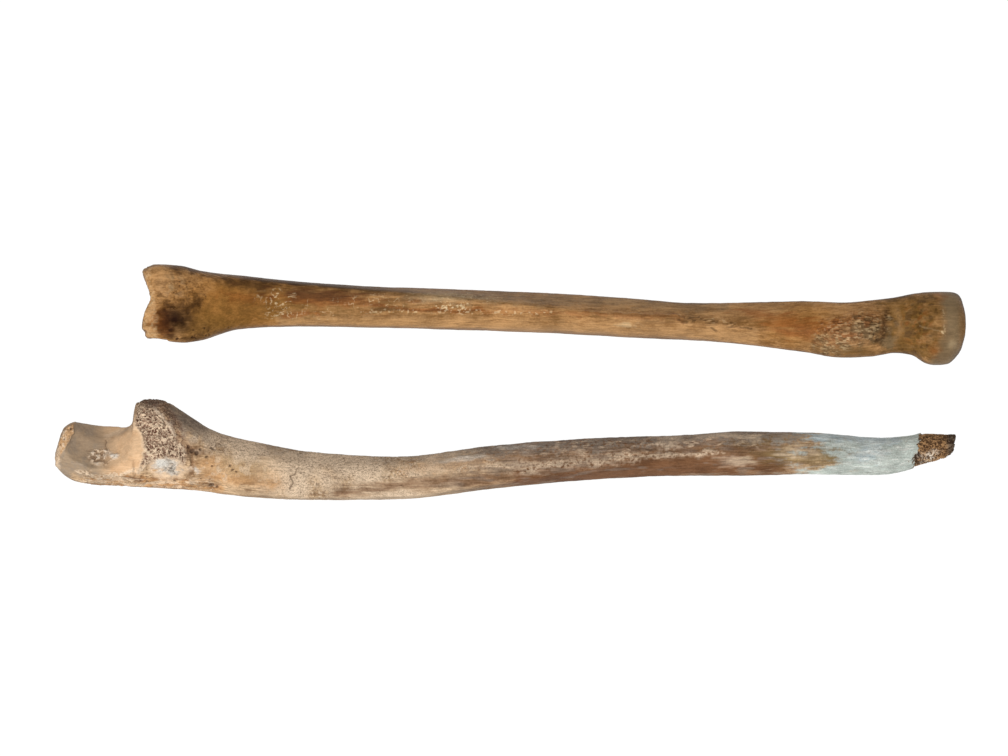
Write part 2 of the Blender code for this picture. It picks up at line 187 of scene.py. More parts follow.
class Surface:
    """A bone's points in millimetres, how far each is to be raised, and its layers of pigment."""

    def __init__(self, bone):
        self.bone = bone
        count = len(bone.data.vertices)
        flat = np.empty(count * 3, np.float32)
        bone.data.vertices.foreach_get("co", flat)
        self.points = flat.reshape(-1, 3).astype(float) / MM
        bone.data.vertices.foreach_get("normal", flat)
        self.normals = flat.reshape(-1, 3).astype(float)
        self.lift = np.zeros(count)
        self.layers = {}
        self.facing = ease(-0.2, 0.3, self.normals[:, 2])
        # how far each face turns sideways; the bones' steep sides are painted darker with it, as
        # painted shade
        self.sides = 1 - ease(0.05, 0.5, self.normals[:, 2])
        self.broad = noise(self.points, 7.0, 1)
        self.rough = noise(self.points, 1.7, 11)
        self.fine = noise(self.points, 0.62, 21, 2)
        self.streaks = noise(self.points, 0.75, 31, 3, 9.0)
        self.flaky = noise(self.points, 1.5, 41, 3, 3.5)
        bend = np.stack([noise(self.points, 2.4, seed, 2) for seed in (51, 57)], axis=1)
        self.places = self.points[:, :2] + 0.4 * bend

    def oval(self, x, y, long, wide, tilt=0.0, ragged=0.3, soft=0.3, around=False, edge=None):
        """A ragged oval seen from above, by its middle and half sizes, tilted in degrees."""
        lean = math.radians(tilt)
        dx, dy = self.places[:, 0] - x, self.places[:, 1] - y
        along = dx * math.cos(lean) + dy * math.sin(lean)
        across = dy * math.cos(lean) - dx * math.sin(lean)
        edge = self.rough if edge is None else edge
        reach = np.hypot(along / long, across / wide) + ragged * edge
        mask = 1 - ease(1 - soft, 1 + soft * 0.4, reach)
        return mask if around else mask * self.facing

    def line(self, route, wide, ragged=0.3, soft=0.5, around=False, edge=None):
        """A line through the route's places as seen from above, by its half width."""
        nearest = np.full(len(self.places), np.inf)
        for start, end in zip(route, route[1:]):
            start, run = np.array(start), np.array(end, float) - start
            share = np.clip((self.places - start) @ run / (run @ run), 0, 1)
            gap = np.linalg.norm(self.places - start - share[:, None] * run, axis=1)
            nearest = np.minimum(nearest, gap)
        edge = self.rough if edge is None else edge
        mask = 1 - ease(1 - soft, 1.1, nearest / wide + ragged * edge)
        return mask if around else mask * self.facing

    def past(self, route, blur):
        """From 0 on the -X side of a route across the bone, given by X and Y, to 1 past it."""
        across = np.array(sorted(route, key=lambda place: place[1]))
        border = np.interp(self.places[:, 1], across[:, 1], across[:, 0])
        return ease(-blur, blur, self.places[:, 0] - border)

    def beyond(self, start, end):
        """From 0 before start to 1 past end, along X."""
        return ease(0, 1, (self.points[:, 0] - start) / (end - start))

    def glaze(self, marks):
        """Adds marks, each a pigment, a strength and a mask, where they are the stronger."""
        for pigment, strength, mask in marks:
            layer = self.layers.setdefault(pigment, np.zeros(len(self.points)))
            np.maximum(layer, mask * strength, out=layer)
        print(self.bone.name, "glazed with", sorted({mark[0] for mark in marks}))

    def spongy(self, mask, size, depth, seed):
        """Opens the foam of spongy bone where the mask is, and returns how deep each pore is."""
        here = mask > FAINT
        bent = self.points[here]
        bent = bent + 0.35 * size * np.stack([noise(bent, size, seed + k, 2) for k in range(3)], axis=1)
        inside, value = cells(bent, size, seed)
        pores = np.zeros(len(self.points))
        open_share = ease(0.03, 0.15, value)
        pores[here] = ease(0.04, 0.2, inside) * open_share * (0.6 + 0.4 * value) * mask[here]
        self.lift -= depth * pores
        return pores

    def pits(self, mask, size, depth, share, seed):
        """Small round pits in that share of the places inside the mask, and how deep each is."""
        here = mask > FAINT
        inside, value = cells(self.points[here], size, seed)
        pores = np.zeros(len(self.points))
        pores[here] = ease(0.22, 0.5, inside) * (value < share) * mask[here]
        self.lift -= depth * pores
        return pores

    def cracks(self, size, width, seed, stretch):
        """Fine cracks along the grain, from 0 to 1."""
        wander = noise(self.points, size, seed, 2, stretch)
        return 1 - ease(0.0, width, np.abs(wander))

    def finish(self):
        """Moves the points by their lift and keeps the layers on the mesh for the material."""
        count = len(self.points)
        moved = (self.points + self.normals * self.lift[:, None]).astype(np.float32)
        moved[:, 2] = np.maximum(moved[:, 2], 0)
        mesh = self.bone.data
        mesh.vertices.foreach_set("co", (moved * MM).reshape(-1).astype(np.float32))
        for pigment, layer in self.layers.items():
            attribute = mesh.attributes.new(pigment, "FLOAT", "POINT")
            attribute.data.foreach_set("value", np.clip(layer, 0, 1).astype(np.float32))
        mesh.shade_smooth()
        mesh.update()
        print(self.bone.name, "carved from", round(float(self.lift.min()), 2), "to",
              round(float(self.lift.max()), 2), "mm at", count, "points")


# %% [markdown]
# ## The radius: honey-brown, smooth and a little greasy
#
# This bone kept its hard outer skin. Its wrist end is thinner-walled and shows pinholes for
# blood vessels, and a dark stained hollow where the ulna's head turned. Curls of dried membrane
# cling to the shaft. The rough oval below the neck held the tendon of the biceps. The head is
# smoother than the rest, because cartilage covered it.

# %% Carve the radius's wrist end
radius = Surface(radius_bone)
oval, line, past = radius.oval, radius.line, radius.past
radius.lift += 0.06 * radius.broad + 0.03 * radius.rough
radius.lift += 0.025 * radius.streaks

WRIST_RIM = ((-104.4, 34), (-104.4, 28), (-103, 24), (-102.8, 18), (-102.6, 11))

# a ridge over the hollow, the hollow, a worn corner, a dip in the rim, and a nick on each side
# of the lowest lobe
radius.lift += 0.5 * line(((-101.6, 23.6), (-96.5, 22.6), (-90, 25)), 1.5)
radius.lift -= 0.6 * oval(-98.3, 18.4, 4.6, 4.6, soft=0.7)
radius.lift -= 1.5 * oval(-108.6, 34.6, 5, 2.4, 20, 0.1, 0.9, around=True)
radius.lift -= 0.5 * oval(-104.6, 25, 2, 2.4, 0, 0.1, 0.9, around=True)
radius.lift -= 0.55 * oval(-106, 14.3, 1.3, 0.7, -20, 0.1, 0.8, around=True)
radius.lift -= 0.5 * oval(-100.8, 11.8, 1.3, 0.8, 0, 0.1, 0.8, around=True)
# a low fold with a groove beside it
radius.lift += 0.25 * line(((-101, 33), (-99.6, 28.6), (-98.8, 24.6)), 1, 0.4, 0.9)
radius.lift -= 0.25 * line(((-98.4, 32), (-97.2, 28), (-96, 25)), 1, 0.4, 0.9)
pocked = oval(-95.5, 26, 8.5, 6, 20, soft=0.6)
radius.lift += pocked * (0.16 * radius.rough + 0.14 * radius.fine)
pinholes = radius.pits(pocked, 0.7, 0.25, 0.22, 71)
pinholes += radius.pits(oval(-88, 14.6, 12, 3.2), 0.9, 0.25, 0.12, 73)
worn_and_lit_rim = (1 - past(WRIST_RIM, 0.8)) * (1 - radius.beyond(-100, -98))
radius.lift += worn_and_lit_rim * (0.12 * radius.rough + 0.1 * radius.fine)
print("radius: wrist end carved")

# %% [markdown]
# The tendon's oval is a rug of short fibres, so it takes the finest noise, drawn out a little
# along the bone. The shaft gets only a low crest and hairline cracks that follow the grain.

# %% Carve the radius's tendon oval, crest and cracks
tendon_oval = oval(99, 15.4, 12.6, 5.4, 17, soft=0.5)
tendon_core = oval(103.5, 17, 7, 3.6, 17, soft=0.7)
fibres = noise(radius.points, 0.42, 77, 2, 2.6)
radius.lift += tendon_oval * (0.16 * radius.rough + 0.24 * fibres)
tendon_pits = radius.pits(tendon_oval, 0.6, 0.2, 0.3, 75)
crescent = line(((109.6, 21.2), (109, 16.4), (107.6, 12)), 2, 0.3, 1)
radius.lift -= 0.45 * crescent
radius.lift += 0.2 * line(((112.4, 21), (113.2, 17), (112.4, 12)), 1.4, 0.5, 1)
radius.lift += 0.2 * line(((0, 20.4), (49, 19.2)), 0.8, 0.3, 0.8)

grain_cracks = radius.cracks(2.2, 0.03, 76, 14) * ease(0.1, 0.6, radius.broad)
grain_cracks *= radius.beyond(-86, -70) * (1 - radius.beyond(84, 92))
neck_crack = line(((119, 16.6), (122.6, 15.4), (126.5, 13.8)), 0.22, 0.5)
radius.lift -= 0.07 * grain_cracks + 0.04 * neck_crack
print("radius: shaft carved")

# %% [markdown]
# Old collagen and soil have coloured the bone in zones, and some zones carry painted light and
# shade as well: the wrist's rim is painted paler where it faces the light, and a band above the
# shaft's crest and the rim of the head are painted darker where they turn from it. They are laid
# from the widest to the smallest, as a restorer would glaze them: the golden ends, the tan
# middle, a dark band along the upper edge that is partly painted shade, then fibres, curls and
# specks.

# %% Paint the radius: the broad zones
HEAD_LINE = ((125.3, 25), (126.1, 20), (126.2, 14), (124.6, 9), (122, 5))
radius.glaze([
    ("golden", 0.85, oval(-80, 22, 24, 12, ragged=0.2, soft=0.7, around=True)),
    ("golden", 0.6, oval(84, 17, 18, 8, ragged=0.3, soft=0.8, around=True)),
    ("olive", 0.9, oval(117, 16, 12, 16, ragged=0.3, soft=0.6, around=True)),
    ("olive", 0.7, oval(-86, 16, 16, 6.5, soft=0.8)),
    ("olive", 0.5, oval(-60, 22, 30, 9, soft=0.8, around=True)),
    ("tan", 0.7, line(((-66, 17.6), (-20, 16.6), (70, 13.2)), 3.6, 0.4, 0.9)),
    ("tan", 0.5, oval(35, 17.2, 14, 2.4, ragged=0.4, soft=0.9)),
    ("olive", 0.75, oval(99, 8.6, 11, 2.6, soft=0.9)),
    # painted light over the rim's own paler colour: the wrist's rim tan where it faces the light
    ("tan", 0.9, worn_and_lit_rim * radius.facing * ease(-0.8, 0.2, radius.rough)),
    ("tan", 0.35, oval(-100.5, 29, 3.4, 4.5, soft=0.8)),
    ("golden", 0.7, oval(-102.8, 17, 2.6, 5, soft=0.8)),
    # painted shade and stain: a taupe band above the shaft's crest, which turns from the light
    ("taupe", 0.38, line(((-30, 25.2), (30, 23.4), (62, 21.8)), 2.6, 0.4, 0.9)),
    ("tan", 0.6, oval(73, 21, 10, 2.6, soft=0.9)),
    ("taupe", 0.6, oval(-98, 28, 4.6, 4.8, soft=0.8) * ease(-0.3, 0.5, radius.rough)),
    # painted shade and the head's own colour: its rim taupe where it turns from the light
    ("taupe", 0.85, past(HEAD_LINE, 1.6) * (1 - radius.beyond(129.5, 132.5))),
    ("taupe", 0.6, oval(99, 13.6, 13, 4.4, 14, soft=0.9)),
    # painted shade and the head's own colour: the far end of the head darker olive
    ("olive", 0.5, radius.beyond(128.5, 132)),
    ("tan", 0.25, oval(118.5, 16, 6, 8) * ease(0.1, 0.6, radius.flaky)),
    ("taupe", 0.6, oval(110, 11.6, 3.4, 2.2, soft=0.7)),
])

# %% [markdown]
# The upper edge is darkened by stain and by painted shade on the side that turns from the light,
# and the steep sides are painted darker still as painted shade, most of all round the head. Dirt
# and handling have darkened the pocked skin of the wrist and the fibres of the tendon's oval.
# Streaky masks, drawn out along the grain, keep these bands from looking airbrushed.

# %% Paint the radius: the dark bands
upper_edge = ((-97, 34.4), (-86, 32.6), (-72, 30.4), (-40, 27.2), (-10, 26.4))
radius.glaze([
    # painted shade and stain: a dark band along the upper edge, which turns from the light
    ("umber", 0.85, line(upper_edge, 3, 0.4, 0.9, True, radius.streaks)
     * (1 - radius.beyond(-50, -6))),
    ("umber", 0.75, oval(-76, 28.6, 14, 2.9, -14, 0.4, 0.9, edge=radius.streaks)),
    ("umber", 0.72, oval(-58, 26, 20, 2.9, -5, 0.5, 0.9, edge=radius.streaks)),
    # painted shade: the steep sides darker
    ("umber", 0.5, radius.sides),
    ("umber", 0.4, pocked * ease(0.1, 0.6, -radius.rough)),
    ("umber", 0.35, pocked * ease(0, 0.5, -fibres)),
    ("umber", 0.55, oval(-92, 14.4, 10, 2.8, 8, 0.8, 0.9) * ease(-0.4, 0.5, -radius.streaks)),
    ("umber", 0.5, line(((-98, 11.6), (-84, 14.4), (-70, 15.6)), 1.2, 0.5, 0.9, True)),
    ("umber", 0.35, line(((88, 8.4), (101, 6.4), (110, 7.4)), 1, 0.4, 0.9, True)),
    ("umber", 0.6, line(((49, 18.9), (60, 17.4), (70, 15.6)), 1, 0.8, 0.9)
     * ease(-0.1, 0.5, -fibres)),
    ("umber", 0.4, line(((-40, 21.4), (-31, 20.9), (-9, 20.7)), 0.55, 0.7, 0.9)),
    ("umber", 0.5, tendon_core * ease(-0.7, 0.6, -fibres)),
    ("umber", 0.45, tendon_oval * ease(-0.3, 0.5, -fibres)),
    ("umber", 0.8, crescent * ease(-1.2, 0.2, -fibres)),
    ("umber", 0.5, oval(118, 17, 7, 9) * ease(0, 0.6, -radius.rough)),
    # painted shade: the head's steep sides darker still
    ("umber", 0.75, radius.sides * radius.beyond(126, 130)),
])

# %% [markdown]
# Iron in the soil has left rust-red streaks, and the hollow at the wrist is stained almost
# black. The black is laid in two ovals, the inner one stronger, so that it fades outwards.

# %% Paint the radius: rust and the stained hollow
radius.glaze([
    ("rust", 0.7, oval(-54, 24.4, 22, 3, -4, 0.5, 0.7, edge=radius.streaks)),
    ("rust", 0.6, line(((-66, 19.4), (-56, 20.2)), 0.9, 0.5, 0.9)),
    ("rust", 0.6, line(((-33, 21.2), (-8, 20.8)), 0.9, 0.7, 0.9, edge=radius.streaks)),
    ("rust", 0.35, line(((-8, 20.6), (22, 19.9), (50, 18.8)), 1.2, 0.8, 1)),
    ("rust", 0.65, oval(84, 16.4, 10.5, 3.6, -6, 0.6, 0.9, edge=radius.streaks)),
    ("rust", 0.55, oval(72, 20, 7, 1.4, -8, 0.6, 0.8, edge=radius.streaks)),
    ("rust", 0.7, oval(93.5, 16.8, 4.6, 1.6, 14, 0.7, 0.8)),
    ("rust", 0.6, tendon_oval * ease(-0.4, 0.5, radius.rough)),
    ("rust", 0.45, oval(118, 17, 6, 8) * ease(0, 0.7, radius.rough)),
    ("rust", 0.5, oval(123.6, 9.4, 2, 2.2, ragged=0.6, soft=1)),
    ("rust", 0.5, oval(125.4, 25, 1.8, 1.4, ragged=0.6, soft=1)),
    ("rust", 0.45, oval(-103, 17.6, 2, 4, soft=0.9)),
    ("rust", 0.8, oval(-100.6, 17.4, 3.4, 4.2, soft=0.9)),
    ("rust", 0.4, oval(-77, 24.6, 9, 2, -8, 0.5, 0.9, edge=radius.streaks)),
    ("stain", 0.92, oval(-97.6, 18.2, 6.4, 5.2, 20, ragged=0.2, soft=0.85)),
    ("stain", 1, oval(-97.8, 17.8, 3.4, 3.4, 0, ragged=0.25, soft=0.9)),
    ("stain", 0.7, line(((-96.5, 20), (-91, 23.6)), 2.2, 0.3, 1)),
    ("stain", 0.8, oval(-97, 12.4, 0.5, 0.5, ragged=0.2)),
    ("stain", 0.7, oval(-92.1, 13.1, 0.6, 0.4, ragged=0.2)),
    ("stain", 0.5, oval(59.3, 15.4, 1.1, 0.35, -20, 0.4)),
    ("stain", 0.4, oval(65.2, 15.2, 1.3, 0.4, -12, 0.4, 0.8)),
    ("stain", 0.55, np.clip(pinholes, 0, 1)),
    ("stain", 0.4, tendon_pits),
    ("stain", 0.35, grain_cracks),
])

# %% [markdown]
# Dried membrane clings on as thin cream curls and flecks. A curl is the line along which a noise
# passes through zero, which wanders and closes on itself as a shred of membrane does.

# %% Paint the radius: membrane curls, flecks, pale marks and a painted highlight
curl = 1 - ease(0.03, 0.17, np.abs(noise(radius.points, 1, 81, 2, 1.5)))
curl *= ease(-0.4, 0.1, noise(radius.points, 1.4, 87, 2))
fleck = ease(0.35, 0.6, radius.fine)
fibre_lines = ease(0.25, 0.6, fibres)
head = past(HEAD_LINE, 0.8)
radius.glaze([
    ("cream", 0.8, curl * oval(-67, 24.2, 7.5, 2.6, -8, soft=0.6)),
    ("cream", 0.7, curl * oval(-66.5, 20, 6.5, 2.2, 0, soft=0.6)),
    ("cream", 0.65, curl * oval(-54.5, 19.6, 4, 1.8, 0, soft=0.6)),
    ("cream", 0.55, curl * oval(-40, 23.6, 12, 2.4, 0, soft=0.8)),
    ("cream", 0.8, curl * oval(-16.5, 24.6, 14.5, 2.1, -3, soft=0.5)),
    ("cream", 0.3, oval(-17.5, 24.4, 11, 1.6, -3, 0.6, 1, edge=radius.flaky)),
    ("cream", 0.95, np.maximum(fleck, curl) * oval(-17.2, 21.8, 6, 1, -2, soft=0.5)),
    ("cream", 0.5, fleck * line(((-44, 20.6), (12, 20.2)), 0.8, 0.4, 0.8)),
    ("cream", 0.35, oval(60.5, 17.8, 4.6, 1.2, -8, 0.5, 0.8) * ease(0, 0.5, fibres)),
    ("cream", 0.4, oval(34.5, 16.4, 3, 0.8, 0, 0.6, 0.9)),
    ("cream", 0.5, fibre_lines * oval(98.5, 12.6, 6.6, 2.4, 10, soft=0.9)),
    ("cream", 0.3, fibre_lines * oval(94, 9.6, 6, 2.4, 10, soft=0.9)),
    ("cream", 0.25, fibre_lines * tendon_oval),
    ("tan", 0.3, line(((112.4, 20.6), (113.4, 17), (112.6, 12)), 1.6, 0.5, 1)),
    ("cream", 0.13, neck_crack),
    ("cream", 0.6, oval(125.4, 14.3, 0.6, 0.45, -20, 0.4)),
    ("cream", 0.32, line(((126, 20.6), (126.2, 15)), 0.4, 0.5)
     * ease(-0.5, 0.35, radius.fine)),
    ("calm", 0.4, head),
    ("umber", 0.3, head * ease(-0.2, 0.8, radius.broad)),
    # painted highlight: a soft pale sheen on the head
    ("cream", 0.3, oval(128.4, 11.2, 1.6, 1.3, soft=0.9)),
    ("cream", 0.3, worn_and_lit_rim * ease(0.1, 0.6, radius.fine) * radius.facing),
])
radius.finish()

# %% [markdown]
# ## The ulna: weathered, flaked and broken
#
# Sun and soil have taken the skin off this bone in places. The elbow notch lies between the
# beak at the bone's very end and the coronoid process, whose foam of spongy bone is open to the
# air. The notch itself kept its smooth joint surface. Along the shaft the outer layer has flaked
# in long scales, and the wrist end is bleached chalky white up to the break, where dark spongy
# bone shows again.

# %% Carve the ulna's notch and beak
ulna = Surface(ulna_bone)
oval, line, past = ulna.oval, ulna.line, ulna.past
ulna.lift += 0.07 * ulna.broad + 0.04 * ulna.rough

BEAK_CREST = ((-126.9, -11.5), (-128.8, -17.6), (-130.4, -20.7), (-132.2, -24))
NOTCH_RIM = ((-109.2, -11.8), (-107, -15.7), (-106.5, -18.9), (-106.8, -22.3), (-109, -26))
NOTCH_FOOT = ((-126.4, -26), (-120.5, -27.6), (-114.7, -26.6), (-110.9, -26), (-106.8, -24.6))

elbow = 1 - ulna.beyond(-84, -76)
beak = (1 - past(BEAK_CREST, 0.25)) * (1 - ulna.beyond(-124, -122))
in_notch = past(BEAK_CREST, 0.3) * (1 - past(NOTCH_RIM, 0.5)) * ulna.facing
below_foot = line(NOTCH_FOOT, 1, 0.3, 0.8)
lower_edge = line(((-124, -29), (-106, -29.4), (-88, -30)), 2.3, 0.4, 0.6)
in_notch *= 1 - line(((-126, -30), (-106, -30)), 3.6, 0.1, 0.4)

ulna.lift += 0.35 * line(BEAK_CREST, 0.7, 0.2, 0.9)
ulna.lift += beak * (0.12 * ulna.rough + 0.10 * ulna.fine)
ulna.lift += 0.25 * line(NOTCH_RIM, 0.9, 0.2, 0.9)
ulna.lift += 0.3 * below_foot * (0.6 + ulna.fine)
ulna.lift += lower_edge * (0.22 * ulna.rough + 0.16 * ulna.fine)
beak_pores = ulna.pits(beak, 0.9, 0.25, 0.25, 121)
edge_pores = ulna.pits(lower_edge, 0.9, 0.3, 0.14, 117)

knobs = oval(-120, -21.8, 3.1, 2.5, 8, 0.45, 0.6)
lumps = noise(ulna.points, 1, 125, 2)
knob_forms = knobs * ease(-0.2, 0.5, lumps)
ulna.lift += 0.6 * knob_forms + 0.15 * knobs * ulna.fine
white_knob = oval(-115.6, -21.4, 2.1, 1.3, 0, 0.6, 0.8)
ulna.lift += 0.35 * white_knob * (0.6 + ulna.fine)
notch_crack = line(((-118, -16.8), (-118.3, -18.6), (-117.4, -20.6)), 0.22, 0.3)
ulna.lift -= 0.2 * notch_crack
print("ulna: notch carved")

# %% [markdown]
# The foam is coarse and deep where the coronoid process is most worn, and fine and shallow on
# its tip and its grey side. A smooth ridge interrupts it, and so does the radial notch, the oval
# that carried the radius's head. That oval is chipped, and foam shows in one half of the chip.

# %% Carve the ulna's foam
FOAM_END = ((-99, -7), (-95.2, -13.6), (-93.6, -19.4), (-94.6, -23))
tip_sides = ease(-0.8, -0.2, ulna.normals[:, 2]) * ease(-9, -8, ulna.points[:, 1])
foam_zone = past(NOTCH_RIM, 0.4) * (1 - past(FOAM_END, 0.8))
foam_zone *= np.maximum(ulna.facing, tip_sides)
foam_zone *= 1 - line(((-108, -27.5), (-92, -27.5)), 3.6, 0.2, 0.3)
grey_side = past(((-103.6, -5), (-99.9, -11.6), (-96.8, -16), (-94.8, -20)), 0.9)
smooth_ridge = line(((-103.6, -6.8), (-99.9, -11.6), (-97, -15.6)), 0.7, 0.5, 0.9)
radial_oval = oval(-99.6, -25.4, 6.6, 3.7, -4, ragged=0.2, soft=0.3)
chipped = oval(-99.9, -24.7, 4.4, 2.5, -12, ragged=0.5, soft=0.4)
coarse = foam_zone * (1 - radial_oval) * (1 - 0.85 * smooth_ridge) * (1 - 0.6 * grey_side)
tip_fine = oval(-103.6, -5.2, 5.4, 2.4, 0, soft=0.8, around=True)
foam = ulna.spongy(coarse * (1 - 0.5 * tip_fine), 0.88, 0.7, 101)
fine_zone = foam_zone * np.maximum(0.7 * grey_side, 0.9 * tip_fine)
foam = np.maximum(foam, ulna.spongy(fine_zone, 0.66, 0.25, 105))
chip_foam = ulna.spongy(chipped * past(((-100.6, 0), (-100.6, -40)), 1.4), 0.95, 0.5, 109)
ulna.lift -= 0.3 * foam_zone * (1 - radial_oval) * ease(-0.4, 0.8, ulna.rough)
ulna.lift += 0.35 * line(((-106, -23.6), (-102, -21.8), (-97.6, -22), (-94.4, -24.6)), 0.8, 0.3, 0.9)
ulna.lift += 0.3 * chipped * (0.4 + ulna.fine) - 0.2 * radial_oval
print("ulna: foam carved")

# %% [markdown]
# Behind the notch lie a crease and a pocket with holes, where blood vessels went in. Further on
# a flap of skin ends in a ragged crack.

# %% Carve the ulna's crease, holes and flap
crease = line(((-93.4, -19.4), (-92.6, -22.6), (-93.2, -27.4)), 1.1, 0.4, 0.9)
ulna.lift -= 0.7 * crease
pocket = oval(-91.8, -20, 3.4, 2, -24, 0.5, 1)
pocket = np.maximum(pocket, oval(-86.8, -30.4, 2.4, 0.9, 0, 0.5, 0.9))
ulna.lift -= 0.3 * pocket
HOLES = (  # place and size of each hole for a blood vessel, behind the notch
    (-93.8, -18.8, 0.6), (-92.6, -20, 0.7), (-91.2, -20.7, 0.6), (-90.2, -19.8, 0.5),
    (-88.2, -21.5, 0.45), (-87, -24.4, 0.4), (-81.6, -24.1, 0.4), (-81, -25.4, 0.45),
    (-80, -26.2, 0.4), (-87.4, -30.3, 0.6), (-85.8, -30.6, 0.5), (-86.8, -19.2, 0.4),
)
lone_holes = np.zeros(len(ulna.points))
for x, y, size in HOLES:
    lone_holes = np.maximum(lone_holes, oval(x, y, size, 0.8 * size, ragged=0.3))
ulna.lift -= 0.4 * lone_holes
FLAP = ((-62.4, -25), (-63.2, -26.2), (-64.2, -27.6), (-63.2, -29.2), (-64.4, -31))
flap = line(FLAP, 0.3, 0.7, 0.9)
ulna.lift -= 0.3 * flap
print("ulna:", len(HOLES), "holes and a flap carved")

# %% [markdown]
# The shaft's skin has lifted in scales, longer than they are wide, which are thickest along its
# upper half. Near the elbow the bare surface between them is a sandy texture of tiny pores.

# %% Carve the ulna's shaft and broken end
BREAK = ((119.9, -14.6), (118.4, -20), (117.4, -25))
stump = ease(0.35, 0.65, past(BREAK, 1.2) + 0.35 * ulna.rough + 0.2 * ulna.fine)
stump *= ulna.beyond(114.5, 116.5)
shaft = ulna.beyond(-90, -78) * (1 - stump)
chalk_start = ((86, -14.5), (88.5, -17), (92, -20), (93, -23.5), (84, -27.5))
chalky = past(chalk_start, 9) + 0.5 * (ulna.flaky + 0.4 * ulna.fine) * (1 - ulna.beyond(96, 108))
chalky = ease(0.1, 0.95, chalky) * ulna.beyond(72, 84) * (1 - stump)
sandy = ulna.beyond(-78, -62) * (1 - ulna.beyond(-34, -4))
sandy = np.maximum(sandy, oval(-78, -18.6, 16, 5, -14, soft=0.8))
sand = ease(0.1, 0.7, noise(ulna.points, 0.42, 137, 2, 1.4)) * sandy
ulna.lift -= 0.10 * sand
scaly = line(((-22, -19.6), (20, -19), (70, -18)), 3.4, 0.5, 0.6, edge=ulna.flaky)
scale_edge = noise(ulna.points, 1, 131, 4, 2.6)
scales = ease(-0.05, 0.3, scale_edge) * scaly
band_edge = ulna.flaky + 0.6 * ulna.fine
pale_band = line(((-14, -24.8), (8, -24.4), (22, -23), (36, -21.4)), 2.9, 0.5, 1, edge=band_edge)
pale_band = np.maximum(pale_band, line(((36, -21.6), (60, -20.6)), 0.9, 0.7, 0.8, edge=band_edge))
ulna.lift += 0.13 * scales + 0.13 * pale_band
fine_pores = ulna.pits(sandy, 0.7, 0.16, 0.30, 135)
shaft_cracks = ulna.cracks(1.6, 0.045, 143, 12) * shaft * ease(-0.2, 0.5, ulna.broad)
grain = noise(ulna.points, 0.45, 147, 3, 5)
ulna.lift -= 0.08 * shaft_cracks
ulna.lift += 0.03 * grain * shaft + 0.05 * grain * chalky

ulna.lift += 0.7 * stump * ease(0.3, 0.8, ulna.normals[:, 0])
ulna.lift += 0.5 * oval(129, -14.8, 1.8, 1.8, 0, 0.1, 0.9, around=True)
stump_foam = ease(0.05, 0.45, ulna.spongy(stump, 1, 0.55, 153))
side_holes = oval(118.6, -22.9, 2, 1.5, 30, 0.5)
side_holes *= ease(-0.5, 0.1, ulna.fine)
ulna.lift -= 0.3 * stump + 0.6 * side_holes
chalk_pit = oval(108.3, -19.2, 0.5, 0.4, ragged=0.15)
ulna.lift -= 0.25 * chalk_pit
print("ulna: shaft carved")

# %% [markdown]
# The ulna's colours are those of weathering: cream where the skin has flaked, grey-brown where
# it hasn't, red-brown in the pores of the foam, and a cold white past the bleached line. The
# notch and the beak behind it come first: a dun joint surface with a chalky rim, painted peach
# and paler as painted light on the side of the notch that faces the light, and greyer on the
# other side, partly grey stain and partly painted shade.

# %% Paint the ulna's notch and beak
notch_lit_side = ease(-122, -112.5, ulna.places[:, 0] + 1.2 * ulna.broad)
pale_corner = oval(121.6, -22.4, 4.4, 2.3, 20, 0.5, 0.7)
lower_brown = line(((-50, -32), (-18, -29), (14, -26.6)), 2.8, 0.4, 0.9, edge=ulna.streaks)
bare = sandy * (1 - 0.85 * lower_brown)
blotched = oval(-80, -24.4, 12, 5.4, -8, 0.4, 0.7)
ulna.glaze([
    ("dun", 0.95, in_notch),
    # painted light over the joint's colour: peach and cream on the side of the notch that faces the
    # light
    ("peach", 1, in_notch * notch_lit_side),
    # painted shade and grey stain: the notch's other side greyer
    ("grey", 0.35, in_notch * (1 - notch_lit_side) * ease(-0.2, 0.6, ulna.rough)),
    ("cream", 0.3, in_notch * notch_lit_side),
    ("calm", 0.5, np.maximum(in_notch, radial_oval)),
    ("calm", 0.6, np.maximum(bare, blotched)),
    ("calm", 0.9, chipped),
    ("speckled", 0.55, blotched),
    ("olive", 0.4, blotched * ease(0, 0.6, ulna.rough)),
    ("cream", 0.5, blotched * ease(0, 0.5, -ulna.rough)),
    ("ochre", 0.5, oval(-114.5, -25.4, 3.4, 1.2, 0, soft=0.8)),
    ("ochre", 0.45, in_notch * notch_lit_side * ease(0, 0.7, ulna.rough)),
    ("cream", 0.5, line(((-117.6, -15.6), (-114.4, -14.2), (-109.6, -13.2)), 1.5, 0.5, 1)),
    ("cream", 0.6, line(NOTCH_RIM, 1.5, 0.3, 1)),
    ("peach", 0.75, beak),
    ("ochre", 0.35, beak * ease(0.1, 0.6, ulna.rough)),
    ("cream", 0.8, beak * ease(0.1, 0.5, ulna.fine)),
    ("cream", 0.7, line(((-132, -18), (-132.2, -26)), 1.3, 0.3, 0.8)),
    ("ochre", 0.5, lower_edge * ease(-0.2, 0.4, ulna.flaky)),
    ("brown", 0.45, lower_edge * ease(0.15, 0.5, ulna.streaks)),
    ("cream", 0.6, lower_edge * ease(0, 0.4, -ulna.streaks)),
    ("cream", 0.85, below_foot * ease(-0.6, 0.2, ulna.fine)),
])

# %% [markdown]
# The foam's walls are cream, grey at the very tip. The oval below it, where the radius's head
# turned, is chipped and chalk white. Behind it the bone is peach and ochre down to the flap.

